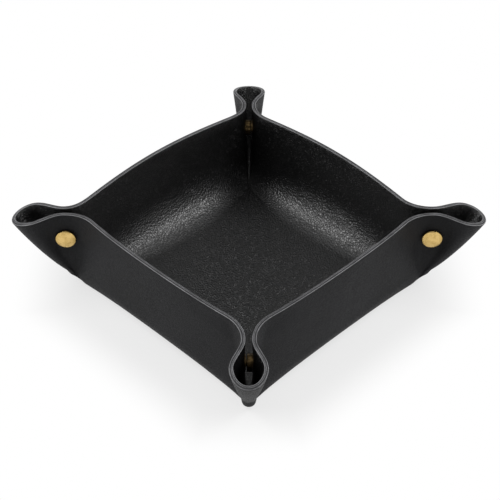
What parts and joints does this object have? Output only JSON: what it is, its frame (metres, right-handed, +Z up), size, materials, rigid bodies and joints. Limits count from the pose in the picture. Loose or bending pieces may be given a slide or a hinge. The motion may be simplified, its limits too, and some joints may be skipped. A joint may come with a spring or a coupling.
{
  "type": "valet tray",
  "caption": "Square leather tray folded from one sheet, its corners pinched and held up by domed snap fasteners, for keys, coins and small things.",
  "frame": {"origin": "centre of the tray's footprint, on the surface it rests on", "axes": "+Z up out of the tray; +X and +Y square to two of its walls, so that the pinched corners lie on the diagonals; each corner holds its socket half on the wall that is anticlockwise of its diagonal, seen from above"},
  "size_m": [0.1682, 0.1682, 0.0468],
  "materials": {
    "outer_leather": "smooth black leather, satin, with a burnished edge",
    "grained_lining": "black leather with a pebbled grain, slightly glossy",
    "antique_brass_cap": "antique brass, lightly worn and mottled",
    "brass_socket": "bright rolled brass",
    "brass_stud": "bright rolled brass",
    "spring_wire": "drawn steel wire"
  },
  "bodies": {
    "tray": {"leather_shell": "outer_leather", "lining": "grained_lining", "front_right_stud": "brass_stud", "front_right_stud_cap": "antique_brass_cap", "back_right_stud": "brass_stud", "back_right_stud_cap": "antique_brass_cap", "back_left_stud": "brass_stud", "back_left_stud_cap": "antique_brass_cap", "front_left_stud": "brass_stud", "front_left_stud_cap": "antique_brass_cap"},
    "front_right_socket_half": {"front_right_socket_cap": "antique_brass_cap", "front_right_socket": "brass_socket", "front_right_socket_spring": "spring_wire"},
    "back_right_socket_half": {"back_right_socket_cap": "antique_brass_cap", "back_right_socket": "brass_socket", "back_right_socket_spring": "spring_wire"},
    "back_left_socket_half": {"back_left_socket_cap": "antique_brass_cap", "back_left_socket": "brass_socket", "back_left_socket_spring": "spring_wire"},
    "front_left_socket_half": {"front_left_socket_cap": "antique_brass_cap", "front_left_socket": "brass_socket", "front_left_socket_spring": "spring_wire"}
  },
  "joints": [
    {"name": "front_right_snap", "type": "hinge", "parent": "tray", "child": "front_right_socket_half", "pos_m": [0.06361, -0.06361, 0.002], "axis": [-0.7071, 0.7071, 0], "range_deg": [0, 15], "deforming": ["leather_shell", "lining", "front_right_socket_spring"]},
    {"name": "back_right_snap", "type": "hinge", "parent": "tray", "child": "back_right_socket_half", "pos_m": [0.06361, 0.06361, 0.002], "axis": [-0.7071, -0.7071, 0], "range_deg": [0, 15], "deforming": ["leather_shell", "lining", "back_right_socket_spring"]},
    {"name": "back_left_snap", "type": "hinge", "parent": "tray", "child": "back_left_socket_half", "pos_m": [-0.06361, 0.06361, 0.002], "axis": [0.7071, -0.7071, 0], "range_deg": [0, 15], "deforming": ["leather_shell", "lining", "back_left_socket_spring"]},
    {"name": "front_left_snap", "type": "hinge", "parent": "tray", "child": "front_left_socket_half", "pos_m": [-0.06361, -0.06361, 0.002], "axis": [0.7071, 0.7071, 0], "range_deg": [0, 15], "deforming": ["leather_shell", "lining", "front_left_socket_spring"]}
  ]
}
